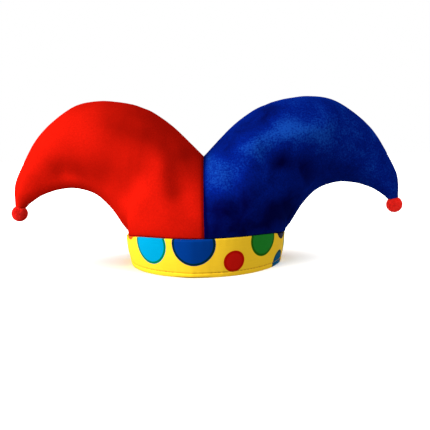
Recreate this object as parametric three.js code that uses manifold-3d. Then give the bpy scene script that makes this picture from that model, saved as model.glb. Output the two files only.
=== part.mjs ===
// A two-horned clown hat: a red and a blue half of foam-backed velvet, each cut as a front and a back
// panel, sewn to a padded satin band, with a small pompom at the tip of each horn.
// Millimetres, +Z up, -Y is the front. The origin is the middle of the rim that the hat stands on.
import * as THREE from 'three';
import { LoftGeometry } from 'three/addons/geometries/LoftGeometry.js';
import { mergeVertices } from 'three/addons/utils/BufferGeometryUtils.js';
import Module from 'manifold-3d';

const wasm = await Module();
wasm.setup();

// Cloth
const VELVET_WALL = 2.4; // pile, backing cloth and thin foam
const BAND_WALL = 3.2; // padded satin
const SEAM_GAP = 0.3; // between pieces that are sewn together

// Band: an oval that leans out a little as it rises, taller at the front and back than at the sides
const RIM_HALF_WIDTH = 81.5;
const RIM_HALF_DEPTH = 91.5;
const BAND_LEAN = 0.155; // outwards, for each millimetre of height
const BAND_FRONT_HEIGHT = 38;
const BAND_SIDE_HEIGHT = 30.3;
const BAND_DIP = 5.5; // the higher, the closer the dip in the top edge keeps to the sides
const EDGE_ROUNDING = 0.8; // softened edges
const HEM_HEIGHT = 4.5; // stitched line above the rim
const HEM_GROOVE = 0.5; // how far the stitches pull in
const PADDING_SWELL = 0.5;
const BAND_SEGMENTS = 56;
const TUCK = 8; // crown cloth hidden behind the band
const TUCK_STEPS = 2;
const CROWN_LIFT = 1; // the crown cloth stands this far above the band
const OVERHANG = 2; // and comes out this far over its top edge

// Crown sections from the centre seam to the armpit under the horn. Each runs from the top edge to the
// band, and belly is how far it swells in between.
const CROWN = [
  { topX: 0, topZ: 113, belly: 2 },
  { topX: 30, topZ: 143.5, belly: 15.8 },
  { topX: 52, topZ: 160, belly: 35.8 },
  { topX: 66, topZ: 166.5, belly: 55.6 },
  { topX: 76, topZ: 170, belly: 60.5 },
];

// Horn sections from the armpit to the neck that carries the pompom
const HORN = [
  { topX: 92, topZ: 173, footX: 91, footZ: 38.5, belly: 56.5 },
  { topX: 112, topZ: 174.5, footX: 104, footZ: 58.5, belly: 49 },
  { topX: 136, topZ: 170.5, footX: 120, footZ: 74, belly: 41 },
  { topX: 160, topZ: 156, footX: 140, footZ: 81, belly: 31 },
  { topX: 181, topZ: 136, footX: 160, footZ: 80.2, belly: 22 },
  { topX: 197, topZ: 110, footX: 179, footZ: 74.2, belly: 15 },
  { topX: 207.8, topZ: 87, footX: 191, footZ: 66.9, belly: 10 },
  { topX: 209.2, topZ: 64, footX: 198, footZ: 61.5, belly: 5.5 },
];
const HORN_SHIFT = 2; // both horns sit this far towards the blue side
const ROWS_PER_SECTION = 2;
const PANEL_COLUMNS = 14;
const CROWN_ROUNDNESS = 0.55; // 0.5 is a quarter oval from the top edge to the band
const BELLY_HEIGHT = 0.8; // below 1 the horn is fullest above its middle
const BELLY_ROUNDNESS = 0.65;

// Near the armpit each point is averaged over neighbouring sections, so that the crown runs smoothly into
// the horn. The top edge and the foot keep their lines.
const EASING = [
  { offset: -1, share: 0.125 },
  { offset: -0.5, share: 0.25 },
  { offset: 0, share: 0.25 },
  { offset: 0.5, share: 0.25 },
  { offset: 1, share: 0.125 },
];
const EASE_REACH = 2; // sections averaged on either side of a point at the armpit
const EASE_SPAN = 3; // sections from the armpit to where the easing ends
const EASE_TOP = 0.2; // share of a section over which the easing starts below the top edge
const EASE_FOOT = 0.25; // and ends above the foot

// Folds run along a line in the front view, x outwards from the centre seam. A positive depth is a ridge.
const FOLDS = [
  { panel: 'red_front_panel', fromX: 39, fromZ: 106, toX: 82, toZ: 56, reach: 12, depth: 3.5 },
  { panel: 'red_front_panel', fromX: 31, fromZ: 123, toX: 24, toZ: 80, reach: 9, depth: -3.5 },
  { panel: 'red_front_panel', fromX: 87, fromZ: 150, toX: 38, toZ: 133, reach: 11, depth: -3 },
  { panel: 'red_front_panel', fromX: 146, fromZ: 102, toX: 101, toZ: 88, reach: 13, depth: -3 },
  { panel: 'blue_front_panel', fromX: 10, fromZ: 104, toX: 50, toZ: 129, reach: 11, depth: 3 },
  { panel: 'blue_front_panel', fromX: 50, fromZ: 129, toX: 123, toZ: 142, reach: 11, depth: 2.5 },
  { panel: 'blue_front_panel', fromX: 67, fromZ: 108, toX: 128, toZ: 101, reach: 13, depth: -3 },
  { panel: 'blue_front_panel', fromX: 28, fromZ: 100, toX: 34, toZ: 62, reach: 10, depth: -3 },
  { panel: 'red_back_panel', fromX: 30, fromZ: 112, toX: 74, toZ: 62, reach: 12, depth: 3 },
  { panel: 'red_back_panel', fromX: 66, fromZ: 122, toX: 132, toZ: 104, reach: 13, depth: -3 },
  { panel: 'blue_back_panel', fromX: 36, fromZ: 110, toX: 80, toZ: 60, reach: 12, depth: 3 },
  { panel: 'blue_back_panel', fromX: 60, fromZ: 132, toX: 126, toZ: 112, reach: 13, depth: -3 },
];
const SEAM_FADE = 22; // folds die out towards a seam where the half's depth falls below this
const FOOT_FADE = 0.25; // and over this share of a section above its foot

// Pompom: a wound head with short locks of yarn all round it
const POMPOM_RADIUS = 9;
const POMPOM_HEAD_RADIUS = 7.7;
const POMPOM_LOCKS = 32;
const LOCK_RADIUS = 2.3;
const LOCK_STRETCH = 1.5; // length of a lock for each width
const LOCK_CLEAR_ANGLE = 48; // degrees round the neck that stay free of locks

const redVelvet = new THREE.MeshStandardMaterial({ color: 0xd81a0c, roughness: 0.9, metalness: 0 });
const blueVelvet = new THREE.MeshStandardMaterial({ color: 0x0a2390, roughness: 0.85, metalness: 0 });
const yellowSatin = new THREE.MeshStandardMaterial({ color: 0xecc62f, roughness: 0.5, metalness: 0 });
const redYarn = new THREE.MeshStandardMaterial({ color: 0xc81a12, roughness: 1, metalness: 0 });

const { degToRad, lerp, smoothstep } = THREE.MathUtils;

// Band

function bandTop(turn) {
  const drop = BAND_FRONT_HEIGHT - BAND_SIDE_HEIGHT;
  return BAND_FRONT_HEIGHT - drop * Math.abs(Math.sin(turn)) ** BAND_DIP;
}

function bandPoint(turn, z, outwards) {
  const spread = BAND_LEAN * z + outwards;
  return new THREE.Vector3(
    (RIM_HALF_WIDTH + spread) * Math.sin(turn),
    (RIM_HALF_DEPTH + spread) * Math.cos(turn),
    z,
  );
}

// One cut through the band, from the flat foot up its outer face, over the top and down inside
function bandSection(turn) {
  const top = bandTop(turn);
  const profile = [
    { outwards: EDGE_ROUNDING - BAND_WALL, z: 0 },
    { outwards: -EDGE_ROUNDING, z: 0 },
    { outwards: 0, z: EDGE_ROUNDING },
    { outwards: 0, z: HEM_HEIGHT - EDGE_ROUNDING },
    { outwards: -HEM_GROOVE, z: HEM_HEIGHT },
    { outwards: 0, z: HEM_HEIGHT + EDGE_ROUNDING },
    { outwards: PADDING_SWELL, z: top / 2 },
    { outwards: 0, z: top - EDGE_ROUNDING },
    { outwards: -EDGE_ROUNDING, z: top },
    { outwards: EDGE_ROUNDING - BAND_WALL, z: top },
    { outwards: -BAND_WALL, z: top - EDGE_ROUNDING },
    { outwards: -BAND_WALL, z: EDGE_ROUNDING },
  ];
  return profile.map((point) => bandPoint(turn, point.z, point.outwards));
}

function bandGeometry() {
  const sections = [];
  for (let i = 0; i <= BAND_SEGMENTS; i++) {
    sections.push(bandSection((i / BAND_SEGMENTS) * 2 * Math.PI));
  }
  return new LoftGeometry(sections);
}

// Velvet panels, worked out for x and y above 0

const sectionRows = [...CROWN, ...HORN];
const crownSteps = CROWN.length - 1;
const panelSteps = sectionRows.length - 1;
const armpit = crownFoot(degToRad(90), 0);
const topEdge = new THREE.SplineCurve(sectionRows.map((row) => new THREE.Vector2(row.topX, row.topZ)));
const bellies = new THREE.SplineCurve(sectionRows.map((row, i) => new THREE.Vector2(i, row.belly)));
const underside = new THREE.SplineCurve([
  new THREE.Vector2(armpit.x, armpit.z),
  ...HORN.map((row) => new THREE.Vector2(row.footX, row.footZ)),
]);

function crownFoot(turn, inset) {
  return bandPoint(turn, bandTop(turn) + CROWN_LIFT + inset, OVERHANG - BAND_WALL - SEAM_GAP - inset);
}

// How far round the band from the front a crown section meets it, closer together towards the armpit
function crownTurn(step) {
  return degToRad(90) * Math.sin(degToRad(90) * (step / crownSteps));
}

// The section at a step along the panel, drawn in by the inset for the wall's inner face. The side is 1
// on the blue half and -1 on the red one.
function sectionAt(step, side, inset) {
  const along = step / panelSteps;
  const top = topEdge.getPoint(along);
  const slope = topEdge.getTangent(along);
  const belly = bellies.getPoint(along).y;
  const shift = side * HORN_SHIFT * smoothstep(step, 0, crownSteps);
  top.x += shift;
  if (step <= crownSteps) {
    const turn = crownTurn(step);
    const foot = crownFoot(turn, inset);
    foot.x += shift;
    top.y -= inset / slope.x;
    return { top, foot, belly: belly - inset * (1 - Math.cos(turn)) };
  }
  const under = (step - crownSteps) / HORN.length;
  const foot = underside.getPoint(under);
  const rise = underside.getTangent(under);
  foot.x += shift;
  top.add(new THREE.Vector2(slope.y, -slope.x).multiplyScalar(inset));
  foot.add(new THREE.Vector2(-rise.y, rise.x).multiplyScalar(inset));
  return { top, foot: new THREE.Vector3(foot.x, 0, foot.y), belly: belly - inset };
}

function sectionPoint(section, down) {
  const dome = (1 - (1 - down) ** 2) ** CROWN_ROUNDNESS;
  const swell = Math.sin(Math.PI * down ** BELLY_HEIGHT) ** BELLY_ROUNDNESS;
  return new THREE.Vector3(
    lerp(section.top.x, section.foot.x, down),
    section.foot.y * dome + section.belly * swell,
    lerp(section.top.y, section.foot.z, down),
  );
}

function panelPoint(step, down, side, inset) {
  const nearArmpit = 1 - smoothstep(Math.abs(step - crownSteps), 0, EASE_SPAN);
  const reach = EASE_REACH * nearArmpit * smoothstep(down, 0, EASE_TOP) * smoothstep(1 - down, 0, EASE_FOOT);
  const point = new THREE.Vector3();
  for (const { offset, share } of EASING) {
    const section = sectionAt(step + offset * reach, side, inset);
    point.addScaledVector(sectionPoint(section, down), share);
  }
  return point;
}

function foldDepth(folds, point) {
  const spot = new THREE.Vector3(point.x, 0, point.z);
  const nearest = new THREE.Vector3();
  let depth = 0;
  for (const fold of folds) {
    const crease = new THREE.Line3(
      new THREE.Vector3(fold.fromX, 0, fold.fromZ),
      new THREE.Vector3(fold.toX, 0, fold.toZ),
    );
    crease.closestPointToPoint(spot, true, nearest);
    depth += fold.depth * Math.exp(-((nearest.distanceTo(spot) / fold.reach) ** 2));
  }
  return depth;
}

// One skin of a panel as rows of points, with the tuck behind the band on the crown's rows
function panelSkin(folds, side, inset) {
  const rows = [];
  for (let row = 0; row <= panelSteps * ROWS_PER_SECTION; row++) {
    const step = row / ROWS_PER_SECTION;
    const points = [];
    for (let column = 0; column <= PANEL_COLUMNS; column++) {
      const down = (1 - Math.cos((Math.PI * column) / PANEL_COLUMNS)) / 2;
      const point = panelPoint(step, down, side, inset);
      const fade = smoothstep(point.y, 0, SEAM_FADE) * smoothstep(1 - down, 0, FOOT_FADE);
      point.y += foldDepth(folds, point) * fade;
      points.push(point);
    }
    if (step <= crownSteps) {
      const turn = crownTurn(step);
      for (let i = 0; i <= TUCK_STEPS; i++) {
        const z = bandTop(turn) + lerp(CROWN_LIFT / 2, -TUCK, i / TUCK_STEPS);
        points.push(bandPoint(turn, z, -BAND_WALL - SEAM_GAP - inset));
      }
    }
    rows.push(points);
  }
  const seam = new THREE.Vector3(SEAM_GAP / 2, SEAM_GAP / 2, 0);
  rows.flat().forEach((point) => point.max(seam));
  return rows;
}

// Two skins of the same layout become one wall, closed all along their open edges
function wallGeometry(outerRows, innerRows) {
  const starts = [];
  let count = 0;
  for (const row of outerRows) {
    starts.push(count);
    count += row.length;
  }
  const faces = [];
  for (let row = 0; row < outerRows.length - 1; row++) {
    const columns = Math.min(outerRows[row].length, outerRows[row + 1].length);
    for (let column = 0; column < columns - 1; column++) {
      const a = starts[row] + column;
      const b = starts[row + 1] + column;
      faces.push([a, b, a + 1], [b, b + 1, a + 1]);
    }
  }
  const used = new Set();
  for (const [a, b, c] of faces) {
    used.add(`${a} ${b}`).add(`${b} ${c}`).add(`${c} ${a}`);
  }
  const index = [];
  for (const [a, b, c] of faces) {
    index.push(a, b, c, count + a, count + c, count + b);
    for (const [from, to] of [[a, b], [b, c], [c, a]]) {
      if (!used.has(`${to} ${from}`)) {
        index.push(to, from, count + from, to, count + from, count + to);
      }
    }
  }
  const geometry = new THREE.BufferGeometry();
  geometry.setFromPoints([...outerRows.flat(), ...innerRows.flat()]);
  geometry.setIndex(index);
  geometry.computeVertexNormals();
  return geometry;
}

function panelMesh(name, material, side, face) {
  const folds = FOLDS.filter((fold) => fold.panel === name);
  const outer = panelSkin(folds, side, 0);
  const inner = panelSkin(folds, side, VELVET_WALL);
  const mesh = new THREE.Mesh(wallGeometry(outer, inner), material);
  mesh.name = name;
  mesh.scale.set(side, face, 1);
  return mesh;
}

// Pompoms

function solidFrom(geometry) {
  const bare = geometry.clone();
  bare.deleteAttribute('normal');
  bare.deleteAttribute('uv');
  const merged = mergeVertices(bare);
  return new wasm.Manifold(new wasm.Mesh({
    numProp: 3,
    vertProperties: merged.attributes.position.array,
    triVerts: new Uint32Array(merged.index.array),
  }));
}

function geometryFrom(solid) {
  const { vertProperties, triVerts } = solid.getMesh();
  const geometry = new THREE.BufferGeometry();
  geometry.setAttribute('position', new THREE.BufferAttribute(vertProperties, 3));
  geometry.setIndex(new THREE.BufferAttribute(triVerts, 1));
  geometry.computeVertexNormals();
  return geometry;
}

// A head with locks on a spiral all round it, apart from where the neck holds it
function pompomGeometry(towardsNeck) {
  let solid = solidFrom(new THREE.IcosahedronGeometry(POMPOM_HEAD_RADIUS, 2));
  const lock = new THREE.OctahedronGeometry(LOCK_RADIUS, 1);
  lock.scale(1, LOCK_STRETCH, 1);
  lock.translate(0, POMPOM_RADIUS - LOCK_RADIUS * LOCK_STRETCH, 0);
  const goldenAngle = Math.PI * (3 - Math.sqrt(5));
  const straightUp = new THREE.Vector3(0, 1, 0);
  for (let i = 0; i < POMPOM_LOCKS; i++) {
    const z = 1 - (2 * i + 1) / POMPOM_LOCKS;
    const radius = Math.sqrt(1 - z * z);
    const way = new THREE.Vector3(radius * Math.cos(goldenAngle * i), radius * Math.sin(goldenAngle * i), z);
    if (way.angleTo(towardsNeck) > degToRad(LOCK_CLEAR_ANGLE)) {
      const turn = new THREE.Quaternion().setFromUnitVectors(straightUp, way);
      solid = solid.add(solidFrom(lock.clone().applyQuaternion(turn)));
    }
  }
  return geometryFrom(solid);
}

function pompomMesh(name, side) {
  const neck = HORN[HORN.length - 1];
  const across = new THREE.Vector3(neck.footX - neck.topX, 0, neck.footZ - neck.topZ).normalize();
  const towardsNeck = new THREE.Vector3(across.z, 0, -across.x);
  const neckHole = neck.belly - VELVET_WALL;
  const reach = Math.sqrt((POMPOM_HEAD_RADIUS + SEAM_GAP) ** 2 - neckHole ** 2);
  const centre = new THREE.Vector3((neck.topX + neck.footX) / 2, 0, (neck.topZ + neck.footZ) / 2);
  centre.addScaledVector(towardsNeck, -reach);
  const mesh = new THREE.Mesh(pompomGeometry(towardsNeck), redYarn);
  mesh.name = name;
  mesh.position.set(side * centre.x + HORN_SHIFT, centre.y, centre.z);
  mesh.scale.set(side, 1, 1);
  return mesh;
}

const band = new THREE.Mesh(bandGeometry(), yellowSatin);
band.name = 'dotted_band';

const clownHat = new THREE.Group();
clownHat.add(
  panelMesh('red_front_panel', redVelvet, -1, -1),
  panelMesh('red_back_panel', redVelvet, -1, 1),
  panelMesh('blue_front_panel', blueVelvet, 1, -1),
  panelMesh('blue_back_panel', blueVelvet, 1, 1),
  band,
  pompomMesh('left_pompom', -1),
  pompomMesh('right_pompom', 1),
);

export default clownHat;
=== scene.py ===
import math

import bmesh
import bpy
import numpy as np
from mathutils import Matrix, Vector


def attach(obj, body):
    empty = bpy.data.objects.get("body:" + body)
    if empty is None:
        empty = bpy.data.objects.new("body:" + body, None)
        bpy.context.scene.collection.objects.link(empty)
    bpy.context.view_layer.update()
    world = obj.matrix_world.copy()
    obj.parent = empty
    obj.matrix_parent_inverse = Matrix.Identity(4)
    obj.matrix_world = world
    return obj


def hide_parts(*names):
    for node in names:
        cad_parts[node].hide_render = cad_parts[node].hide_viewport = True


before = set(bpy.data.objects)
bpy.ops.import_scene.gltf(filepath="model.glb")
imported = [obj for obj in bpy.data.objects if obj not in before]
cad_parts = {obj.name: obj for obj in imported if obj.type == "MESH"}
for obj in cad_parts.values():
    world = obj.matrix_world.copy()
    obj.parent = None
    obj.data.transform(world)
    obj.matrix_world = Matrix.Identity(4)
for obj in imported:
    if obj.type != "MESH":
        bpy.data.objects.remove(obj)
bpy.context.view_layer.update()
mm = 0.001  # sizes below are in millimetres, Blender works in metres
fullTurn = 2 * math.pi
noiseSpan = {"From Min": 0.3, "From Max": 0.7}  # nearly all of a noise texture lies between these
mixA, mixB, mixResult = 6, 7, 2  # the colour sockets of a Mix node


# Small helpers

def linearColour(hexColour, share=1):
    # sRGB hex to the linear values that shaders take, darkened to a share of its light
    channels = [int(hexColour[i:i + 2], 16) / 255 for i in (1, 3, 5)]
    linear = [c / 12.92 if c <= 0.04045 else ((c + 0.055) / 1.055) ** 2.4 for c in channels]
    return [share * c for c in linear] + [1]


def perMetre(size):
    # texture scale that makes a pattern repeat about every size millimetres
    return 1000 / size


def addNode(tree, kind, sockets=None, **settings):
    # sockets takes numbers and colours to set, and other nodes' outputs to link
    node = tree.nodes.new(kind)
    for name, value in settings.items():
        setattr(node, name, value)
    for key, value in (sockets or {}).items():
        if isinstance(value, bpy.types.NodeSocket):
            tree.links.new(value, node.inputs[key])
        else:
            node.inputs[key].default_value = value
    return node


def startMaterial(name):
    material = bpy.data.materials.new(name)
    material.use_nodes = True
    material.node_tree.nodes.clear()
    return material, material.node_tree


def addPiece(name, points, faces, materials, faceMaterials=None, sharpAngle=50):
    # a mesh object from arrays, points in millimetres
    mesh = bpy.data.meshes.new(name)
    mesh.from_pydata((np.asarray(points) * mm).tolist(), [], [list(face) for face in faces])
    for material in materials:
        mesh.materials.append(material)
    mesh.polygons.foreach_set("use_smooth", np.ones(len(mesh.polygons), bool))
    if faceMaterials is not None:
        mesh.polygons.foreach_set("material_index", faceMaterials)
    mesh.set_sharp_from_angle(angle=math.radians(sharpAngle))
    mesh.update()
    piece = bpy.data.objects.new(name, mesh)
    bpy.context.scene.collection.objects.link(piece)
    return piece


def ringAngles(count):
    return np.linspace(0, fullTurn, count + 1)[:-1]


def tubeFaces(first, rings, sides):
    # faces of a closed tube whose points are laid ring by ring from the number first
    faces = []
    for start in range(first, first + (rings - 1) * sides, sides):
        for side in range(sides):
            here, beside = start + side, start + (side + 1) % sides
            faces.append((here, beside, beside + sides, here + sides))
    last = first + (rings - 1) * sides
    faces.append(tuple(range(last, last + sides)))
    faces.append(tuple(reversed(range(first, first + sides))))
    return faces


def smoothStep(value, low, high):
    share = np.clip((value - low) / (high - low), 0, 1)
    return share * share * (3 - 2 * share)


def curveThrough(table, at):
    # a smooth curve through the rows of a table, one step from row to row
    rows = np.asarray(table, float)
    last = len(rows) - 1
    start = np.clip(np.floor(at).astype(int), 0, last - 1)
    share = (at - start)[..., None]
    here, there = rows[start], rows[start + 1]
    leave = (there - rows[np.maximum(start - 1, 0)]) / 2
    arrive = (rows[np.minimum(start + 2, last)] - here) / 2
    cubic = 2 * here - 2 * there + leave + arrive
    square = -3 * here + 3 * there - 2 * leave - arrive
    return ((cubic * share + square) * share + leave) * share + here


def ripples(points, lengths, seed):
    # gentle waves of a few lengths in millimetres, between about -1 and 1
    draw = np.random.default_rng(seed)
    total = np.zeros(points.shape[:-1])
    for length in lengths:
        way = draw.normal(size=3)
        way /= np.linalg.norm(way)
        total += np.sin(points @ way * (fullTurn / length) + draw.uniform(0, fullTurn))
    return total / len(lengths)


# Camera: the photograph's angle, a little above the band

view = {
    "aim": (10.6, 0, 48.6),
    "distance": 650,
    "pitch": 7.2,  # degrees down
    "roll": 1.4,  # degrees, the blue side stands higher in the picture
    "lens": 49.6,
}


def makeCamera():
    pitch, roll = math.radians(view["pitch"]), math.radians(view["roll"])
    forward = Vector((0, math.cos(pitch), -math.sin(pitch)))
    right = Vector((1, 0, 0))
    up = right.cross(forward)
    across = right * math.cos(roll) - up * math.sin(roll)
    above = right * math.sin(roll) + up * math.cos(roll)
    place = (Vector(view["aim"]) - forward * view["distance"]) * mm
    turned = Matrix((across, above, -forward)).transposed().to_4x4()
    data = bpy.data.cameras.new("hatCamera")
    data.lens = view["lens"]
    camera = bpy.data.objects.new("hatCamera", data)
    camera.matrix_world = Matrix.Translation(place) @ turned
    bpy.context.scene.collection.objects.link(camera)
    bpy.context.scene.camera = camera


makeCamera()
print("camera set")


# Studio: a white floor and a soft key light from the front left

studio = {
    "floorRadius": 4000,
    "floorSides": 96,
    "floorColours": ("#f4f3f1", "#ffffff"),
    "floorClouds": 300,
    "aim": (0, 0, 90),
    "skyColour": "#ffffff",
    "skyLight": 0.9,
    "groundLight": 0.4,
    "horizon": 0.5,  # how far below and above level the ground's light turns into the sky's
    "keyPlace": (-560, -360, 300),
    "keySize": 300,
    "keyPower": 7.7,
    "fillPlace": (620, -760, 200),
    "fillSize": 600,
    "fillPower": 1.6,
    "floorSun": 4.6,
    "floorSunSpread": 70,  # degrees, wide enough that the hat's shadow stays faint
}


def makeLamp(name, place, size, power):
    data = bpy.data.lights.new(name, "AREA")
    data.shape = "DISK"
    data.size = size * mm
    data.energy = power
    lamp = bpy.data.objects.new(name, data)
    lamp.location = Vector(place) * mm
    lamp.rotation_euler = (Vector(studio["aim"]) - Vector(place)).to_track_quat("-Z", "Y").to_euler()
    bpy.context.scene.collection.objects.link(lamp)
    return lamp


def makeFloor():
    # matt painted board: an even off-white with a faint unevenness
    material, tree = startMaterial("mattPaintedBoard")
    place = addNode(tree, "ShaderNodeTexCoord")
    cloudy = addNode(tree, "ShaderNodeTexNoise", {
        "Vector": place.outputs["Object"],
        "Scale": perMetre(studio["floorClouds"]),
    })
    tone = addNode(tree, "ShaderNodeMix", {
        0: cloudy.outputs["Fac"],
        mixA: linearColour(studio["floorColours"][0]),
        mixB: linearColour(studio["floorColours"][1]),
    }, data_type="RGBA")
    board = addNode(tree, "ShaderNodeBsdfPrincipled", {
        "Base Color": tone.outputs[mixResult],
        "Roughness": 0.9,
        "Specular IOR Level": 0.1,
    })
    addNode(tree, "ShaderNodeOutputMaterial", {"Surface": board.outputs[0]})
    turns = ringAngles(studio["floorSides"])
    ring = np.stack([np.cos(turns), np.sin(turns), 0 * turns], axis=-1) * studio["floorRadius"]
    floor = addPiece("studioFloor", ring, [range(len(ring))], [material])
    floor.visible_diffuse = False  # the floor shows, but throws no light back up at the hat
    return floor


def makeSky():
    # soft light from all round, dimmer from below, and a white backdrop
    world = bpy.data.worlds.new("studio")
    world.use_nodes = True
    tree = world.node_tree
    tree.nodes.clear()
    sky = linearColour(studio["skyColour"])
    rays = addNode(tree, "ShaderNodeLightPath")
    way = addNode(tree, "ShaderNodeTexCoord")
    height = addNode(tree, "ShaderNodeSeparateXYZ", {0: way.outputs["Generated"]})
    strength = addNode(tree, "ShaderNodeMapRange", {
        "Value": height.outputs["Z"],
        "From Min": -studio["horizon"],
        "From Max": studio["horizon"],
        "To Min": studio["groundLight"],
        "To Max": studio["skyLight"],
    })
    soft = addNode(tree, "ShaderNodeBackground", {"Color": sky, "Strength": strength.outputs[0]})
    backdrop = addNode(tree, "ShaderNodeBackground", {"Color": sky, "Strength": 1})
    both = addNode(tree, "ShaderNodeMixShader", {
        0: rays.outputs["Is Camera Ray"],
        1: soft.outputs[0],
        2: backdrop.outputs[0],
    })
    addNode(tree, "ShaderNodeOutputWorld", {"Surface": both.outputs[0]})
    bpy.context.scene.world = world
    bpy.context.scene.view_settings.view_transform = "Standard"


def makeStudio():
    makeSky()
    keyLight = makeLamp("keyLight", studio["keyPlace"], studio["keySize"], studio["keyPower"])
    makeLamp("fillLight", studio["fillPlace"], studio["fillSize"], studio["fillPower"])
    floorSun = bpy.data.objects.new("floorSun", bpy.data.lights.new("floorSun", "SUN"))
    floorSun.data.energy = studio["floorSun"]
    floorSun.data.angle = math.radians(studio["floorSunSpread"])
    bpy.context.scene.collection.objects.link(floorSun)
    floor = makeFloor()
    lit = bpy.data.collections.new("litFloor")
    lit.objects.link(floor)
    floorSun.light_linking.receiver_collection = lit  # shines straight down and only on the floor
    unlit = bpy.data.collections.new("keyLightExcept")
    unlit.objects.link(floor)
    unlit.collection_objects[0].light_linking.link_state = "EXCLUDE"
    keyLight.light_linking.receiver_collection = unlit  # the floor gets no hard shadow from the key light


makeStudio()
print("studio lit")


# Band: padded satin round the head, with a stitched hem

band = {
    "halfWidth": 81.5,
    "halfDepth": 91.5,
    "lean": 0.155,  # outwards, for each millimetre of height
    "frontHeight": 38,
    "sideHeight": 30.3,
    "dip": 5.5,  # the higher, the closer the dip in the top edge keeps to the sides
    "wall": 3.2,
    "rounding": 0.8,
    "hemHeight": 4.5,
    "hemGroove": 0.8,
    "hemGrooveWidth": 0.6,
    "swell": 0.6,
    "swellFullness": 0.8,  # below 1 the padding is fuller than an arch
    "gather": 0.22,
    "gatherLength": 8,
    "gatherReach": 4,  # above and below the hem
    "gatherDrift": 1.5,  # radians, so that the gathers aren't evenly spaced
    "gatherDriftWaves": 5,
    "topGatherShare": 0.7,
    "topGatherReach": 5,
    "topGatherShift": 5,  # segments round from the hem's gathers
    "undulation": 0.35,
    "undulationWaves": ((7, 9), (11, -13)),  # waves round the band, and the height over which each slants
    "creaseArc": -13,  # the band has been folded flat here
    "creaseReach": 22,
    "creaseHeight": 2.2,
    "printRepeats": 2,  # round the band
    "segments": 256,
    "edgeRows": 5,
    "hemRows": 24,
    "hemStart": 0.3,  # above the rounded foot
    "hemEnd": 3,  # above the hem's stitches
    "faceRows": 40,
    "innerRows": 12,
    "seed": 4,
    "arcSteps": 2000,
}


def bandTop(turn):
    drop = band["frontHeight"] - band["sideHeight"]
    return band["frontHeight"] - drop * np.abs(np.sin(turn)) ** band["dip"]


def bandPoint(turn, z, outwards):
    spread = band["lean"] * z + outwards
    x = (band["halfWidth"] + spread) * np.sin(turn)
    y = (band["halfDepth"] + spread) * np.cos(turn)
    return np.stack(np.broadcast_arrays(x, y, z), axis=-1)


def bandArc(turn):
    # length along the middle of the band, which like turn is counted from the front
    fine = np.linspace(0, fullTurn, band["arcSteps"] + 1)
    points = bandPoint(fine, band["frontHeight"] / 2, 0)
    lengths = np.concatenate([[0], np.cumsum(np.linalg.norm(np.diff(points, axis=0), axis=1))])
    return np.interp(turn, fine, lengths)


dyes = {
    "sky": "#0086ae",
    "royal": "#012e74",
    "navy": "#05052c",
    "teal": "#004a70",
    "red": "#b4110b",
    "green": "#1b7022",
    "orange": "#c05f18",
}

# Printed dots on one repeat of the cloth: arc along the band from its front, height above the rim.
# Heights below 0 are on the band's inside.
dots = [
    {"arc": -58, "height": 31.3, "radius": 20.3, "dye": "sky"},
    {"arc": -10.3, "height": 33, "radius": 20.8, "dye": "royal"},
    {"arc": 28.7, "height": 14.8, "radius": 10.8, "dye": "red"},
    {"arc": 63.5, "height": 33, "radius": 17.4, "dye": "green"},
    {"arc": 102.3, "height": 45.3, "radius": 18, "dye": "navy"},
    {"arc": 99, "height": 1.5, "radius": 14.5, "dye": "teal"},
    {"arc": -97.5, "height": 48, "radius": 17, "dye": "orange"},
    {"arc": 126, "height": 21, "radius": 12, "dye": "green"},
    {"arc": -127, "height": 12, "radius": 8.5, "dye": "red"},
    {"arc": -70, "height": -18, "radius": 14, "dye": "red"},
    {"arc": -20, "height": -24, "radius": 18, "dye": "sky"},
    {"arc": 25, "height": -16, "radius": 12, "dye": "green"},
    {"arc": 75, "height": -25, "radius": 17, "dye": "royal"},
    {"arc": 122, "height": -15, "radius": 12, "dye": "orange"},
    {"arc": -118, "height": -22, "radius": 16, "dye": "royal"},
]

satin = {
    "ground": "#e6b926",
    "edgeBlur": 0.2,
    "overlap": 2.8,  # each dot has a thin dark outline, where its dye lies over that of the ground
    "overlapDye": 0.9,
    "slubLength": 14,
    "slubWidth": 0.9,  # real floats are 0.2 wide, drawn coarser so that they show
    "slubTone": 0.07,
    "slubRelief": 0.2,
    "roughness": (0.4, 0.56),
}


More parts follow.
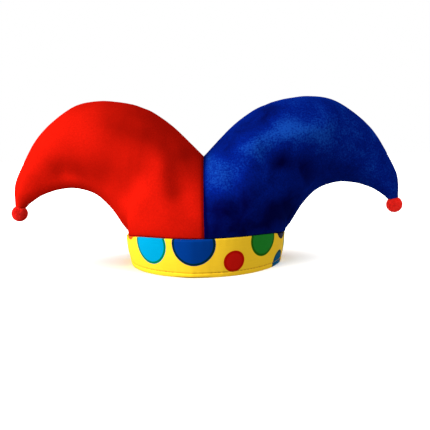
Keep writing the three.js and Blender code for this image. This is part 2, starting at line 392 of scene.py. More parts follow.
def makeDottedSatin():
    # printed polyester satin: smooth floats give a broad soft gloss, and the dye has flat colours
    material, tree = startMaterial("printedPolyesterSatin")
    cloth = addNode(tree, "ShaderNodeUVMap", uv_map="bandPrint")
    parts = addNode(tree, "ShaderNodeSeparateXYZ", {0: cloth.outputs["UV"]})
    half = bandArc(fullTurn) * mm / band["printRepeats"] / 2
    arc = addNode(tree, "ShaderNodeMath", {0: parts.outputs["X"], 1: half, 2: -half}, operation="WRAP")
    spot = addNode(tree, "ShaderNodeCombineXYZ", {"X": arc.outputs[0], "Y": parts.outputs["Y"]})
    slubPlace = addNode(tree, "ShaderNodeMapping", {
        "Vector": cloth.outputs["UV"],
        "Scale": (perMetre(satin["slubLength"]), perMetre(satin["slubWidth"]), 1),
    })
    slubs = addNode(tree, "ShaderNodeTexNoise", {"Vector": slubPlace.outputs[0], "Scale": 1, "Detail": 3})
    blur, ring = satin["edgeBlur"] * mm, satin["overlap"] * mm
    colour = None
    nearest = None
    for dot in dots:
        centre = (dot["arc"] * mm, dot["height"] * mm, 0)
        away = addNode(tree, "ShaderNodeVectorMath", {0: spot.outputs[0], 1: centre}, operation="DISTANCE")
        edge = addNode(tree, "ShaderNodeMath", {0: away.outputs["Value"], 1: dot["radius"] * mm},
                       operation="SUBTRACT")
        inside = addNode(tree, "ShaderNodeMapRange", {
            "Value": edge.outputs[0],
            "From Min": blur,
            "From Max": -blur,
        })
        colour = addNode(tree, "ShaderNodeMix", {
            0: inside.outputs[0],
            mixA: colour.outputs[mixResult] if colour else linearColour(satin["ground"]),
            mixB: linearColour(dyes[dot["dye"]]),
        }, data_type="RGBA")
        within = addNode(tree, "ShaderNodeMath", {0: edge.outputs[0], 1: ring / 2})
        off = addNode(tree, "ShaderNodeMath", {0: within.outputs[0]}, operation="ABSOLUTE")
        if nearest:
            off = addNode(tree, "ShaderNodeMath", {0: nearest.outputs[0], 1: off.outputs[0]},
                          operation="MINIMUM")
        nearest = off
    overlap = addNode(tree, "ShaderNodeMapRange", {
        "Value": nearest.outputs[0],
        "From Min": ring / 4,
        "From Max": ring / 2,
        "To Min": satin["overlapDye"],
        "To Max": 0,
    })
    outlined = addNode(tree, "ShaderNodeMix", {
        0: overlap.outputs[0],
        mixA: colour.outputs[mixResult],
        mixB: linearColour(satin["ground"]),
    }, data_type="RGBA", blend_type="MULTIPLY")
    shade = addNode(tree, "ShaderNodeMapRange", {
        "Value": slubs.outputs["Fac"],
        "To Min": 1 - satin["slubTone"],
        "To Max": 1 + satin["slubTone"],
    })
    dyed = addNode(tree, "ShaderNodeMix", {0: 1, mixA: outlined.outputs[mixResult], mixB: shade.outputs[0]},
                   data_type="RGBA", blend_type="MULTIPLY")
    gloss = addNode(tree, "ShaderNodeMapRange", {
        "Value": slubs.outputs["Fac"],
        "To Min": satin["roughness"][0],
        "To Max": satin["roughness"][1],
    })
    relief = addNode(tree, "ShaderNodeBump", {
        "Height": slubs.outputs["Fac"],
        "Strength": 0.25,
        "Distance": satin["slubRelief"] * mm,
    })
    shader = addNode(tree, "ShaderNodeBsdfPrincipled", {
        "Base Color": dyed.outputs[mixResult],
        "Roughness": gloss.outputs[0],
        "IOR": 1.5,
        "Specular IOR Level": 0.005,  # very faint, or the white studio bleaches the dyes at the band's ends
        "Normal": relief.outputs[0],
    })
    addNode(tree, "ShaderNodeOutputMaterial", {"Surface": shader.outputs[0]})
    return material


def bandProfile():
    # one cut through the band, up the outer face, over the top and down inside: how far outwards,
    # a height, the share of the top edge's height that is added to it, and the face
    rounding, wall = band["rounding"], band["wall"]
    low = band["hemHeight"] + band["hemEnd"]
    quarter = [(rounding * (1 - math.cos(angle)), rounding * (1 - math.sin(angle)))
               for angle in np.linspace(0, math.pi / 2, band["edgeRows"])]
    foot = [(-across, up, 0, "outer") for up, across in quarter]
    hem = [(0, z, 0, "outer") for z in np.linspace(rounding + band["hemStart"], low, band["hemRows"])]
    padding = [(0, low * (1 - share) - rounding * share, share, "outer")
               for share in np.linspace(0, 1, band["faceRows"])[1:]]
    topEdge = [(-across, -down, 1, "outer") for across, down in quarter[1:]]
    innerEdge = [(across - wall, -down, 1, "inner") for down, across in quarter]
    inside = [(-wall, rounding * (1 - 2 * share), share, "inner")
              for share in np.linspace(1, 0, band["innerRows"])[1:-1]]
    innerFoot = [(across - wall, up, 0, "inner") for across, up in quarter]
    return foot + hem + padding + topEdge + innerEdge + inside + innerFoot


def bandLift(z, top, arcs, girth, phases):
    # how far the padded cloth stands out from the plain oval
    angle = fullTurn * arcs / girth
    drift = band["gatherDrift"] * np.sin(angle * band["gatherDriftWaves"] + phases[0])
    gathers = np.sin(angle * round(girth / band["gatherLength"]) + drift)
    edge = 2 * band["rounding"]
    within = smoothStep(z, 0, edge) * smoothStep(top - z, 0, edge)
    fromHem = z - band["hemHeight"]
    above = np.clip(fromHem / (top - band["hemHeight"]), 0, 1)
    lift = band["swell"] * np.sin(math.pi * above) ** band["swellFullness"] * within
    lift -= band["hemGroove"] * np.exp(-(fromHem / band["hemGrooveWidth"]) ** 2)
    lift += band["gather"] * gathers * np.exp(-np.abs(fromHem) / band["gatherReach"]) * within
    topGathers = band["topGatherShare"] * band["gather"] * np.roll(gathers, band["topGatherShift"])
    lift += topGathers * np.exp(-(top - z) / band["topGatherReach"]) * within
    sway = sum(np.sin(angle * count + phase + z / slant)
               for (count, slant), phase in zip(band["undulationWaves"], phases[1:]))
    lift += band["undulation"] / 2 * sway * np.sin(math.pi * above)
    fromCrease = np.abs((arcs - band["creaseArc"] + girth / 2) % girth - girth / 2)
    lift += band["creaseHeight"] * np.clip(1 - fromCrease / band["creaseReach"], 0, 1) * within
    return lift


def layPrint(piece, heights, lastOuter, arcs, girth):
    # the print's own coordinates in metres, with no jump at the back where the strip is joined
    hair = 1e-6
    centred = np.append(arcs, girth)
    centred = np.where(centred > girth / 2 + hair, centred - girth, centred)
    ends = np.where(centred[1:] < centred[:-1], centred[1:] + girth, centred[1:])
    start = np.broadcast_to(centred[:-1], heights.shape)
    end = np.broadcast_to(ends, heights.shape)
    nextHeights = np.vstack([heights[1:], heights[:1]])
    nextHeights[lastOuter] = heights[lastOuter]  # the cloth is cut along the top edge
    corners = np.stack([
        np.stack([start, heights], -1),
        np.stack([end, np.roll(heights, -1, axis=1)], -1),
        np.stack([end, np.roll(nextHeights, -1, axis=1)], -1),
        np.stack([start, nextHeights], -1),
    ], axis=2)
    layer = piece.data.uv_layers.new(name="bandPrint")
    layer.data.foreach_set("uv", (corners.reshape(-1, 2) * mm).astype(np.float32).ravel())


def makeBand(material):
    profile = bandProfile()
    turns = ringAngles(band["segments"])
    arcs = bandArc(turns)
    girth = bandArc(fullTurn)
    top = bandTop(turns)
    phases = np.random.default_rng(band["seed"]).uniform(0, fullTurn, 3)
    columns = []
    printed = []
    for outwards, low, share, face in profile:
        z = low + share * top
        lift = bandLift(z, top, arcs, girth, phases) if face == "outer" else 0
        points = bandPoint(turns, z, outwards + lift)
        points[:, 1] *= -1  # turns are counted from the front, which is -Y
        columns.append(points)
        printed.append(z if face == "outer" else -z)
    grid = np.array(columns)  # profile, turn, xyz
    rows, around = grid.shape[:2]
    index = np.arange(rows * around).reshape(rows, around)
    beside = np.roll(index, -1, axis=1)
    above, aboveBeside = np.roll(index, -1, axis=0), np.roll(beside, -1, axis=0)
    faces = np.stack([index, beside, aboveBeside, above], axis=-1).reshape(-1, 4)
    piece = addPiece("satin_band", grid.reshape(-1, 3), faces, [material], sharpAngle=70)
    lastOuter = [face for *_, face in profile].index("inner") - 1
    layPrint(piece, np.array(printed), lastOuter, arcs, girth)
    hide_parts("dotted_band")
    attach(piece, "root")


makeBand(makeDottedSatin())
print("band made")


# Hem stitches: one row of lockstitch in the groove

stitches = {
    "pitch": 4,
    "length": 3.1,
    "thickness": 0.55,  # real thread is 0.3, drawn thicker so that it shows
    "bluntness": 4,  # the higher, the blunter the ends
    "endShare": 0.08,  # of the middle's section
    "proud": 0.2,  # above the bottom of the groove
    "dive": 0.35,  # the ends go down into the cloth
    "diveSteepness": 3,
    "sides": 6,
    "rings": 6,
    "colour": "#ba8c1e",
    "twist": 0.5,
    "twistShade": 0.7,
}


def makeThread():
    # spun polyester thread: matt, with a fine twist
    material, tree = startMaterial("spunPolyesterThread")
    place = addNode(tree, "ShaderNodeTexCoord")
    twist = addNode(tree, "ShaderNodeTexNoise", {
        "Vector": place.outputs["Object"],
        "Scale": perMetre(stitches["twist"]),
    })
    tone = addNode(tree, "ShaderNodeMix", {
        0: twist.outputs["Fac"],
        mixA: linearColour(stitches["colour"], stitches["twistShade"]),
        mixB: linearColour(stitches["colour"]),
    }, data_type="RGBA")
    shader = addNode(tree, "ShaderNodeBsdfPrincipled", {
        "Base Color": tone.outputs[mixResult],
        "Roughness": 0.7,
        "Specular IOR Level": 0.2,
    })
    addNode(tree, "ShaderNodeOutputMaterial", {"Surface": shader.outputs[0]})
    return material


def makeStitches():
    girth = bandArc(fullTurn)
    count = round(girth / stitches["pitch"])
    fine = np.linspace(0, fullTurn, 2 * band["arcSteps"] + 1)
    fineArcs = bandArc(fine)
    angles = -ringAngles(stitches["sides"])
    along = np.linspace(-1, 1, stitches["rings"])
    fatness = np.sqrt(np.clip(1 - along ** stitches["bluntness"], stitches["endShare"], 1))
    points = []
    faces = []
    for i in range(count):
        middle = (i + 0.5) * girth / count
        faces.extend(tubeFaces(len(points), stitches["rings"], stitches["sides"]))
        for place, fat in zip(along, fatness):
            turn = np.interp(middle + place * stitches["length"] / 2, fineArcs, fine)
            dive = stitches["dive"] * abs(place) ** stitches["diveSteepness"]
            sink = band["hemGroove"] - stitches["proud"] + dive
            radius = stitches["thickness"] / 2 * fat
            heights = band["hemHeight"] + radius * np.sin(angles)
            ring = bandPoint(turn, heights, radius * np.cos(angles) - sink)
            ring[:, 1] *= -1
            points.extend(ring)
    piece = addPiece("hem_stitches", np.array(points), faces, [makeThread()])
    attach(piece, "root")


makeStitches()
print("hem stitched")


# Velvet panels: a front and a back for each half, drawn on sections from the centre seam to the tip

panel = {
    "wall": 2.4,
    "pile": 0.8,  # its height
    "bandGap": 0.3,
    "tuck": 8,
    "tuckRows": 4,
    "crownLift": 1,  # of the cloth's lower edge above the band
    "overhang": 2,  # how far it bulges out over the band's top edge
    "hornShift": 2,  # both horns sit this far towards the blue side
    "crownRoundness": 0.55,
    "bellyHeight": 0.8,
    "bellyRoundness": 0.65,
    "easing": {-1: 0.125, -0.5: 0.25, 0: 0.25, 0.5: 0.25, 1: 0.125},  # share of each neighbouring section
    "easeReach": 2,  # sections
    "easeSpan": 3,
    "easeTop": 0.2,
    "easeFoot": 0.25,
    "seamFade": 22,  # folds die out towards the seams
    "footFade": 0.25,
    "crownRows": 76,
    "rowCrowding": 1.35,  # above 1 rows lie closer at the centre seam
    "hornRows": 100,
    "columns": 96,
    "columnCrowding": 1.2,  # above 1 columns lie closer at the top seam
    "seamRoll": 0.8,
    "seamRollWidth": 1.5,
    "centreRoll": 0.9,
    "centreRollWidth": 1.6,
    "lowerSeamStart": 0.3,  # sections
    "cornerReach": 14,
    "pucker": 0.16,
    "puckerReach": 6,
    "puckerLengths": (9.5, 6.1, 14),
    "undulation": 0.45,
    "undulationLengths": (34, 47, 61, 28),
    "undulationFade": (2, 16),  # from the seams
    "flatSize": (0.27, 0.2),  # metres, the rectangle that one panel is cut from
    "flatArea": 0.033,
}

# Sections of the crown, from the centre seam to the armpit
crown = [
    {"topX": 0, "topZ": 113, "belly": 2},
    {"topX": 30, "topZ": 143.5, "belly": 15.8},
    {"topX": 52, "topZ": 160, "belly": 35.8},
    {"topX": 66, "topZ": 166.5, "belly": 55.6},
    {"topX": 76, "topZ": 170, "belly": 60.5},
]

# Sections of the horn, from the armpit to the neck
horn = [
    {"topX": 92, "topZ": 173, "footX": 91, "footZ": 38.5, "belly": 56.5},
    {"topX": 112, "topZ": 174.5, "footX": 104, "footZ": 58.5, "belly": 49},
    {"topX": 136, "topZ": 170.5, "footX": 120, "footZ": 74, "belly": 41},
    {"topX": 160, "topZ": 156, "footX": 140, "footZ": 81, "belly": 31},
    {"topX": 181, "topZ": 136, "footX": 160, "footZ": 80.2, "belly": 22},
    {"topX": 197, "topZ": 110, "footX": 179, "footZ": 74.2, "belly": 15},
    {"topX": 207.8, "topZ": 87, "footX": 191, "footZ": 66.9, "belly": 10},
    {"topX": 209.2, "topZ": 64, "footX": 198, "footZ": 61.5, "belly": 5.5},
]

# Folds along a line in the front view, x outwards from the centre seam. A positive depth is a ridge.
folds = [
    {"panel": "red_front", "from": (39, 106), "to": (82, 56), "reach": 12, "depth": 3.5},
    {"panel": "red_front", "from": (31, 123), "to": (24, 80), "reach": 9, "depth": -3.5},
    {"panel": "red_front", "from": (87, 150), "to": (38, 133), "reach": 11, "depth": -3},
    {"panel": "red_front", "from": (146, 102), "to": (101, 88), "reach": 13, "depth": -3},
    {"panel": "blue_front", "from": (10, 104), "to": (50, 129), "reach": 11, "depth": 3},
    {"panel": "blue_front", "from": (50, 129), "to": (123, 142), "reach": 11, "depth": 2.5},
    {"panel": "blue_front", "from": (67, 108), "to": (128, 101), "reach": 13, "depth": -3},
    {"panel": "blue_front", "from": (28, 100), "to": (34, 62), "reach": 10, "depth": -3},
    {"panel": "red_back", "from": (30, 112), "to": (74, 62), "reach": 12, "depth": 3},
    {"panel": "red_back", "from": (66, 122), "to": (132, 104), "reach": 13, "depth": -3},
    {"panel": "blue_back", "from": (36, 110), "to": (80, 60), "reach": 12, "depth": 3},
    {"panel": "blue_back", "from": (60, 132), "to": (126, 112), "reach": 13, "depth": -3},
]

# Painted light and shade on the pile, along lines as for the folds. A positive tone is a painted highlight,
# a negative one painted shade.
paintedShadeStrokes = [
    {"panel": "red_front", "from": (80, 145), "to": (62, 138), "reach": 24, "tone": -0.36},
    {"panel": "red_front", "from": (145, 102), "to": (105, 108), "reach": 18, "tone": -0.15},
    {"panel": "red_front", "from": (92, 102), "to": (80, 92), "reach": 18, "tone": -0.14},
    {"panel": "red_front", "from": (66, 104), "to": (54, 100), "reach": 11, "tone": -0.18},
    {"panel": "red_front", "from": (22, 112), "to": (23, 86), "reach": 12, "tone": -0.24},
    {"panel": "red_front", "from": (9, 106), "to": (9, 64), "reach": 9, "tone": 0.34},
    {"panel": "red_front", "from": (0, 112), "to": (0, 40), "reach": 2.5, "tone": -0.4},
    {"panel": "red_front", "from": (35, 99), "to": (80, 62), "reach": 13, "tone": 0.22},
    {"panel": "red_front", "from": (70, 48), "to": (40, 52), "reach": 18, "tone": 0.08},
    {"panel": "red_front", "from": (172, 116), "to": (130, 156), "reach": 24, "tone": -0.07},
    {"panel": "red_front", "from": (183, 76), "to": (146, 92), "reach": 11, "tone": 0.42},
    {"panel": "blue_front", "from": (6, 110), "to": (25, 91), "reach": 14, "tone": 0.19},
    {"panel": "blue_front", "from": (0, 112), "to": (0, 40), "reach": 2.5, "tone": -0.45},
    {"panel": "blue_front", "from": (42, 120), "to": (82, 139), "reach": 11, "tone": 0.23},
    {"panel": "blue_front", "from": (82, 139), "to": (118, 137), "reach": 12, "tone": 0.3},
    {"panel": "blue_front", "from": (14, 123), "to": (70, 158), "reach": 12, "tone": -0.3},
    {"panel": "blue_front", "from": (42, 96), "to": (75, 108), "reach": 13, "tone": -0.15},
    {"panel": "blue_front", "from": (80, 106), "to": (98, 104), "reach": 12, "tone": -0.28},
    {"panel": "blue_front", "from": (8, 72), "to": (36, 75), "reach": 12, "tone": -0.28},
    {"panel": "blue_front", "from": (10, 46), "to": (82, 56), "reach": 24, "tone": -0.38},
    {"panel": "blue_front", "from": (62, 60), "to": (86, 52), "reach": 13, "tone": -0.14},
    {"panel": "blue_front", "from": (84, 64), "to": (104, 84), "reach": 15, "tone": -0.16},
    {"panel": "blue_front", "from": (108, 94), "to": (156, 92), "reach": 12, "tone": -0.22},
    {"panel": "red_back", "from": (60, 140), "to": (120, 120), "reach": 22, "tone": -0.3},
    {"panel": "red_back", "from": (20, 60), "to": (70, 52), "reach": 22, "tone": 0.2},
    {"panel": "blue_back", "from": (40, 130), "to": (120, 145), "reach": 14, "tone": 0.3},
    {"panel": "blue_back", "from": (10, 50), "to": (80, 58), "reach": 24, "tone": -0.4},
]

redVelvet = {
    "name": "redCottonVelvet",
    "tones": ("#730702", "#a60f05", "#c61407"),  # painted shade, mid tone and painted light of one red
    "unpaintedTone": 0.48,  # tone where no light or shade is painted
    "sheenColour": "#ff1008",
    "sheen": 0.05,
    "tuft": 1.8,  # real tufts are 0.5 wide, drawn as the clumps they form
    "tuftShare": 0.22,  # tufts vary the tone at random, more where the painted light is brighter, there as painted glint
    "tuftRelief": 0.2,
    "patch": 38,  # where the pile is crushed one way
    "patchShare": 0.05,
}

blueVelvet = {
    "name": "blueCrushedVelvet",
    # painted shade, mid tone and painted light of one blue
    "tones": ("#020230", "#02176e", "#0e3c92"),
    "unpaintedTone": 0.5,
    "sheenColour": "#1a5cff",
    "sheen": 0.1,
    "tuft": 1.7,
    "tuftShare": 0.5,
    "tuftRelief": 0.25,
    "patch": 26,
    "patchShare": 0.13,
}

backing = {
    "red": "#a81810",
    "blue": "#141c66",
    "furrowShade": 0.55,
    "rib": 2.5,  # real ribs are 1.2 apart, drawn coarser so that they show
    "ribDepth": 0.3,
}


def makeVelvet(finish):
    # short cut pile: no gloss; its colour carries painted shade and painted highlights along given strokes,
    # with random tufts and crushed patches
    material, tree = startMaterial(finish["name"])
    place = addNode(tree, "ShaderNodeTexCoord")
    tufts = addNode(tree, "ShaderNodeTexNoise", {
        "Vector": place.outputs["Object"],
        "Scale": perMetre(finish["tuft"]),
        "Detail": 4,
        "Roughness": 0.65,
    })
    patches = addNode(tree, "ShaderNodeTexNoise", {
        "Vector": place.outputs["Object"],
        "Scale": perMetre(finish["patch"]),
        "Detail": 3,
        "Distortion": 0.8,
    })
    # the painted light and shade of each point
    paintedTone = addNode(tree, "ShaderNodeAttribute", attribute_name="paintedLightAndShade")
    crushed = addNode(tree, "ShaderNodeMapRange", {
        "Value": patches.outputs["Fac"],
        **noiseSpan,
        "To Min": -finish["patchShare"],
        "To Max": finish["patchShare"],
    })
    paintedToneAndPatches = addNode(tree, "ShaderNodeMath", {0: paintedTone.outputs["Fac"], 1: crushed.outputs[0]})
    # random tuft speckle, made larger where the painted light is brighter: partly pile texture, partly
    # painted glint
    tuftsAndPaintedGlint = addNode(tree, "ShaderNodeMapRange", {
        "Value": tufts.outputs["Fac"],
        **noiseSpan,
        "To Min": 1 - finish["tuftShare"],
        "To Max": 1 + finish["tuftShare"],
    })
    paintedToneWithTufts = addNode(tree, "ShaderNodeMath", {0: paintedToneAndPatches.outputs[0], 1: tuftsAndPaintedGlint.outputs[0]},
                    operation="MULTIPLY")
    # the ramp turns the painted light and shade, with patches and tufts, into the velvet's colour
    colour = addNode(tree, "ShaderNodeValToRGB", {"Fac": paintedToneWithTufts.outputs[0]})
    stops = colour.color_ramp.elements
    stops.new(0.5)
    for stop, tone in zip(stops, finish["tones"]):
        stop.color = linearColour(tone)
    relief = addNode(tree, "ShaderNodeBump", {
        "Height": tufts.outputs["Fac"],
        "Strength": finish["tuftRelief"],
        "Distance": panel["pile"] * mm,
    })
    shader = addNode(tree, "ShaderNodeBsdfPrincipled", {
        "Base Color": colour.outputs["Color"],
        "Roughness": 0.95,
        "IOR": 1.5,
        "Specular IOR Level": 0,
        "Sheen Weight": finish["sheen"],
        "Sheen Roughness": 0.4,
        "Sheen Tint": linearColour(finish["sheenColour"]),
        "Normal": relief.outputs[0],
    })
    addNode(tree, "ShaderNodeOutputMaterial", {"Surface": shader.outputs[0]})
    return material


def makeBacking(name, colour):
    # warp-knit backing on thin foam: a dull, finely ribbed version of the velvet's colour
    material, tree = startMaterial(name)
    place = addNode(tree, "ShaderNodeTexCoord")
    ribs = addNode(tree, "ShaderNodeTexWave", {
        "Vector": place.outputs["Object"],
        "Scale": perMetre(backing["rib"]) * math.pi / 10,  # a Wave texture of scale 1 repeats every pi / 10
        "Distortion": 1.5,
    })
    tone = addNode(tree, "ShaderNodeMix", {
        0: ribs.outputs["Fac"],
        mixA: linearColour(colour, backing["furrowShade"]),
        mixB: linearColour(colour),
    }, data_type="RGBA")
    relief = addNode(tree, "ShaderNodeBump", {
        "Height": ribs.outputs["Fac"],
        "Strength": 0.2,
        "Distance": backing["ribDepth"] * mm,
    })
    shader = addNode(tree, "ShaderNodeBsdfPrincipled", {
        "Base Color": tone.outputs[mixResult],
        "Roughness": 0.95,
        "Specular IOR Level": 0.1,
        "Normal": relief.outputs[0],
    })
    addNode(tree, "ShaderNodeOutputMaterial", {"Surface": shader.outputs[0]})
    return material


def crownTurn(steps):
    # how far round the band from the front a crown section meets it
    return math.pi / 2 * np.sin(math.pi / 2 * np.minimum(steps / (len(crown) - 1), 1))


def crownFoot(turn):
    outwards = panel["overhang"] - band["wall"] - panel["bandGap"]
    return bandPoint(turn, bandTop(turn) + panel["crownLift"], outwards)


def sectionPoints(steps, down, side):
    # points at steps along the panel and shares down its sections
    lastCrown = len(crown) - 1
    shift = side * panel["hornShift"] * smoothStep(steps, 0, lastCrown)
    along = curveThrough([(row["topX"], row["topZ"], row["belly"]) for row in crown + horn], steps)
    topX, topZ, belly = np.moveaxis(along, -1, 0)
    topX = topX + shift
    armpit = crownFoot(np.array(math.pi / 2))
    lower = [(armpit[0], armpit[2])] + [(row["footX"], row["footZ"]) for row in horn]
    under = curveThrough(lower, np.maximum(steps - lastCrown, 0))
    hornFoot = np.stack([under[..., 0], 0 * steps, under[..., 1]], -1)
    foot = np.where((steps <= lastCrown)[..., None], crownFoot(crownTurn(steps)), hornFoot)
    dome = (1 - (1 - down) ** 2) ** panel["crownRoundness"]
    swell = np.sin(math.pi * down ** panel["bellyHeight"]).clip(0) ** panel["bellyRoundness"]
    x = topX + (foot[..., 0] + shift - topX) * down
    y = foot[..., 1] * dome + belly * swell
    z = topZ + (foot[..., 2] - topZ) * down
    return np.stack([x, y, z], -1)


def lineFall(spot, line):
    # 1 on a line in the front view, falling off over its reach
    start = np.array(line["from"], float)
    run = np.array(line["to"], float) - start
    share = np.clip((spot - start) @ run / (run @ run), 0, 1)
    away = np.linalg.norm(spot - start - share[..., None] * run, axis=-1)
    return np.exp(-(away / line["reach"]) ** 2)


def panelSkin(name, side):
    # the panel's face on a grid of rows along it and columns down it, for x and y above 0
    lastCrown = len(crown) - 1
    crownSteps = lastCrown * np.linspace(0, 1, panel["crownRows"] + 1) ** panel["rowCrowding"]
    hornSteps = lastCrown + len(horn) * np.linspace(0, 1, panel["hornRows"] + 1)[1:]
    steps = np.concatenate([crownSteps, hornSteps])[:, None]
    spread = (1 - np.cos(math.pi * np.arange(panel["columns"] + 1) / panel["columns"])) / 2
    down = spread ** panel["columnCrowding"]
    # near the armpit points are averaged over neighbouring sections, so that the crown runs into the horn
    reach = panel["easeReach"] * (1 - smoothStep(np.abs(steps - lastCrown), 0, panel["easeSpan"]))
    reach = reach * smoothStep(down, 0, panel["easeTop"]) * smoothStep(1 - down, 0, panel["easeFoot"])
    skin = sum(share * sectionPoints(steps + offset * reach, down, side)
               for offset, share in panel["easing"].items())
    fade = smoothStep(skin[..., 1], 0, panel["seamFade"]) * smoothStep(1 - down, 0, panel["footFade"])
    spot = skin[..., [0, 2]]
    own = [fold for fold in folds if fold["panel"] == name]
    skin[..., 1] += sum(fade * fold["depth"] * lineFall(spot, fold) for fold in own)
    return steps[:, 0], skin


def lengthsFrom(grid, axis):
    # distance along the grid's lines from their start
    parts = np.linalg.norm(np.diff(grid, axis=axis), axis=-1)
    total = np.cumsum(parts, axis=axis)
    return np.insert(total, 0, 0, axis=axis)


def gridNormals(grid):
    normals = np.cross(np.gradient(grid, axis=0), np.gradient(grid, axis=1))
    normals /= np.linalg.norm(normals, axis=-1, keepdims=True)
    normals[..., 0] *= smoothStep(lengthsFrom(grid, 0), 0, panel["cornerReach"])  # level at the centre seam
    return normals / np.linalg.norm(normals, axis=-1, keepdims=True)


def dressSkin(name, steps, skin, normals):
    # seams pull the pile in, with small puckers beside them, and the foam lies a little unevenly
    lastCrown = len(crown) - 1
    fromTop = lengthsFrom(skin, 1)
    fromFoot = fromTop[:, -1:] - fromTop
    fromCentre = lengthsFrom(skin, 0)
    lowerSeam = smoothStep(steps, lastCrown, lastCrown + panel["lowerSeamStart"])[:, None]
    rollWidth, centreWidth = panel["seamRollWidth"], panel["centreRollWidth"]
    corner = panel["cornerReach"]  # the rolls end at the top of the centre seam and at the neck
    alongHorn = smoothStep(steps[-1] - steps, 0, 1)[:, None] * smoothStep(fromCentre, 0, corner)
    lift = -panel["seamRoll"] * np.exp(-(fromTop / rollWidth) ** 2) * alongHorn
    lift -= panel["seamRoll"] * lowerSeam * np.exp(-(fromFoot / rollWidth) ** 2) * alongHorn
    lift -= panel["centreRoll"] * np.exp(-(fromCentre / centreWidth) ** 2) * smoothStep(fromTop, 0, corner)
    seed = sum(map(ord, name))
    waves = ripples(skin, panel["puckerLengths"], seed)
    reach = panel["puckerReach"]
    besides = np.exp(-fromTop / reach) + lowerSeam * np.exp(-fromFoot / reach) + np.exp(-fromCentre / reach)
    lift += panel["pucker"] * waves * besides
    broad = ripples(skin, panel["undulationLengths"], seed + 1)
    fade = smoothStep(np.minimum(fromTop, fromFoot), *panel["undulationFade"])
    lift += panel["undulation"] * broad * fade
    return skin + lift[..., None] * normals


def tuckPoints(turn, outwards):
    # cloth that goes in under the overhang and down behind the band
    heights = np.linspace(panel["crownLift"] / 2, -panel["tuck"], panel["tuckRows"])
    return np.concatenate([bandPoint(turn, bandTop(turn) + height, outwards) for height in heights])


def panelQuads(rows, columns, crownRows):
    # quads of the face, and of the tuck that goes on from the crown's lower edge
    index = np.arange(rows * columns).reshape(rows, columns)
    tuck = rows * columns + np.arange(panel["tuckRows"] * crownRows).reshape(-1, crownRows).T
    tuck = np.concatenate([index[:crownRows, -1:], tuck], axis=1)
    grids = [np.stack([i[:-1, :-1], i[1:, :-1], i[1:, 1:], i[:-1, 1:]], -1) for i in (index, tuck)]
    return np.concatenate([grid.reshape(-1, 4) for grid in grids])


def wallFaces(quads, count):
    # two skins of the same layout, closed along every edge that only one face uses
    edges = np.concatenate([quads[:, [i, (i + 1) % 4]] for i in range(4)])
    used = edges[:, 0] * count + edges[:, 1]
    reverse = edges[:, 1] * count + edges[:, 0]
    rim = edges[~np.isin(reverse, used)]
    closing = np.column_stack([rim[:, 1], rim[:, 0], rim[:, 0] + count, rim[:, 1] + count])
    return np.concatenate([quads, quads[:, ::-1] + count, closing])


def paintedShadeTones(name, unpaintedTone, points):
    # painted shade and painted highlights from the strokes, added to the base tone
    spot = np.abs(points[:, [0, 2]])
    own = [stroke for stroke in paintedShadeStrokes if stroke["panel"] == name]
    return unpaintedTone + sum(stroke["tone"] * lineFall(spot, stroke) for stroke in own)


def makePanel(name, side, face, finish, materials):
    steps, skin = panelSkin(name, side)
    normals = gridNormals(skin)
    outer = dressSkin(name, steps, skin, normals)
    inner = skin - panel["wall"] * normals
    crownRows = panel["crownRows"] + 1
    outer[0, :, 0] = 0  # the seams stay closed
    outer[:, 0, 1] = 0
    outer[crownRows - 1:, -1, 1] = 0
    turn = crownTurn(steps[:crownRows])
    behind = -band["wall"] - panel["bandGap"]
    outerPoints = np.concatenate([outer.reshape(-1, 3), tuckPoints(turn, behind)])
    innerPoints = np.concatenate([inner.reshape(-1, 3), tuckPoints(turn, behind - panel["wall"])])
    points = np.concatenate([outerPoints, innerPoints])
    points[:, :2] = np.maximum(points[:, :2], 0)
    points *= (side, face, 1)
    quads = panelQuads(*skin.shape[:2], crownRows)
    faces = wallFaces(quads, len(outerPoints))
    kinds = np.ones(len(faces), int)
    kinds[:len(quads)] = 0  # velvet outside, backing inside and along the cut edges
    if side * face < 0:
        faces = faces[:, ::-1]
    piece = addPiece(name + "_velvet", points, faces, materials, kinds)
    # each point carries its painted light and shade for the velvet's colour
    tones = piece.data.attributes.new("paintedLightAndShade", "FLOAT", "POINT")
    tones.data.foreach_set("value", paintedShadeTones(name, finish["unpaintedTone"], points))
    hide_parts(name + "_panel")
    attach(piece, "root")


def makePanels():
    red = [makeVelvet(redVelvet), makeBacking("redKnitBacking", backing["red"])]
    blue = [makeVelvet(blueVelvet), makeBacking("blueKnitBacking", backing["blue"])]
    for place, face in (("front", -1), ("back", 1)):
        makePanel("red_" + place, -1, face, redVelvet, red)
        makePanel("blue_" + place, 1, face, blueVelvet, blue)


makePanels()
print("velvet panels made")


# Pompoms: trimmed yarn, bound to the neck of each horn

pompom = {
    "radius": 8.9,
    "headRadius": 7.7,
    "coreRadius": 7,
    "coreRoundness": 3,  # subdivisions
    "seat": 0.3,
    "strands": 2800,
    "strandRadius": 0.34,
    "strandSides": 3,
    "strandRings": ((0, 1), (0.7, 1), (1, 0.55)),  # share of the length, and of the radius
    "strandRoot": 0.3,  # below the core's surface
    "strandLean": 0.35,
    "clearAngle": 37,  # degrees round the neck with no strands
    "unevenness": 0.35,
    "leftTones": ("#cc150e", "#ec261b"),  # darkest and lightest strands
    "rightTones": ("#ff2218", "#ff3c30"),  # a brighter red than the left pompom's
    "leftSeed": 11,
    "rightSeed": 12,
    "toneSize": 1.4,  # about two strands
    "sheenColour": "#ff5048",
}


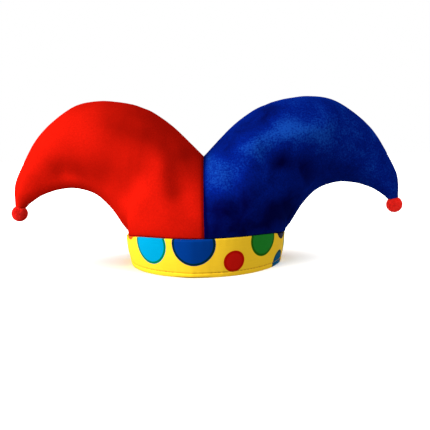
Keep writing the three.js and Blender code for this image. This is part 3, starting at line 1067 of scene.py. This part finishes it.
def makeYarn(name, tones):
    # trimmed acrylic yarn: fuzzy cut ends, matt, each strand a slightly different red
    material, tree = startMaterial(name)
    place = addNode(tree, "ShaderNodeTexCoord")
    strand = addNode(tree, "ShaderNodeTexNoise", {
        "Vector": place.outputs["Object"],
        "Scale": perMetre(pompom["toneSize"]),
        "Detail": 3,
    })
    tone = addNode(tree, "ShaderNodeMapRange", {"Value": strand.outputs["Fac"], **noiseSpan})
    colour = addNode(tree, "ShaderNodeMix", {
        0: tone.outputs[0],
        mixA: linearColour(tones[0]),
        mixB: linearColour(tones[1]),
    }, data_type="RGBA")
    shader = addNode(tree, "ShaderNodeBsdfPrincipled", {
        "Base Color": colour.outputs[mixResult],
        "Roughness": 0.9,
        "Specular IOR Level": 0.1,
        "Sheen Weight": 0.4,
        "Sheen Roughness": 0.5,
        "Sheen Tint": linearColour(pompom["sheenColour"]),
    })
    addNode(tree, "ShaderNodeOutputMaterial", {"Surface": shader.outputs[0]})
    return material


def spiralWays(count):
    # evenly spread directions
    i = np.arange(count)
    z = 1 - (2 * i + 1) / count
    angle = math.pi * (3 - math.sqrt(5)) * i
    radius = np.sqrt(1 - z * z)
    return np.stack([radius * np.cos(angle), radius * np.sin(angle), z], -1)


def pompomSeat():
    # the pompom's centre just past the neck, and the way from there to the neck
    neck = horn[-1]
    end = np.array([neck["footX"] - neck["topX"], 0, neck["footZ"] - neck["topZ"]])
    end /= np.linalg.norm(end)
    towardsNeck = np.array([end[2], 0, -end[0]])
    hole = neck["belly"] - panel["wall"]
    reach = math.sqrt((pompom["headRadius"] + pompom["seat"]) ** 2 - hole ** 2)
    middle = np.array([(neck["topX"] + neck["footX"]) / 2, 0, (neck["topZ"] + neck["footZ"]) / 2])
    return middle - towardsNeck * reach, towardsNeck


def yarnCore():
    # a round ball of packed yarn
    ball = bpy.data.meshes.new("core")
    shape = bmesh.new()
    bmesh.ops.create_icosphere(shape, subdivisions=pompom["coreRoundness"], radius=pompom["coreRadius"])
    shape.to_mesh(ball)
    shape.free()
    points = np.array([vertex.co for vertex in ball.vertices])
    faces = [tuple(polygon.vertices) for polygon in ball.polygons]
    bpy.data.meshes.remove(ball)
    return points, faces


def strandPoints(way, draw):
    # a short strand from the core outwards, which leans a little to one side
    across = np.cross(way, draw.normal(size=3))
    across /= np.linalg.norm(across)
    other = np.cross(way, across)
    root = pompom["coreRadius"] - pompom["strandRoot"]
    tip = pompom["radius"] - draw.uniform(0, pompom["unevenness"])
    lean = draw.normal(0, pompom["strandLean"])
    points = []
    for share, fat in pompom["strandRings"]:
        middle = way * (root + (tip - root) * share) + across * lean * share ** 2
        radius = pompom["strandRadius"] * fat
        for angle in ringAngles(pompom["strandSides"]):
            points.append(middle + radius * (across * math.cos(angle) + other * math.sin(angle)))
    return np.array(points)


def makePompom(name, node, side, material, seed):
    centre, towardsNeck = pompomSeat()
    draw = np.random.default_rng(seed)
    corePoints, faces = yarnCore()
    points = [corePoints]
    ways = spiralWays(pompom["strands"])
    ways = ways[ways @ towardsNeck < math.cos(math.radians(pompom["clearAngle"]))]
    count = len(corePoints)
    for way in ways:
        strand = strandPoints(way, draw)
        points.append(strand)
        faces += tubeFaces(count, len(pompom["strandRings"]), pompom["strandSides"])
        count += len(strand)
    placed = (np.concatenate(points) + centre) * (side, 1, 1) + (panel["hornShift"], 0, 0)
    if side < 0:
        faces = [face[::-1] for face in faces]
    piece = addPiece(name, placed, faces, [material], sharpAngle=80)
    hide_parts(node)
    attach(piece, "root")


leftYarn = makeYarn("trimmedAcrylicYarn", pompom["leftTones"])
rightYarn = makeYarn("brightTrimmedAcrylicYarn", pompom["rightTones"])
makePompom("left_yarn_pompom", "left_pompom", -1, leftYarn, pompom["leftSeed"])
makePompom("right_yarn_pompom", "right_pompom", 1, rightYarn, pompom["rightSeed"])
print("pompoms made")
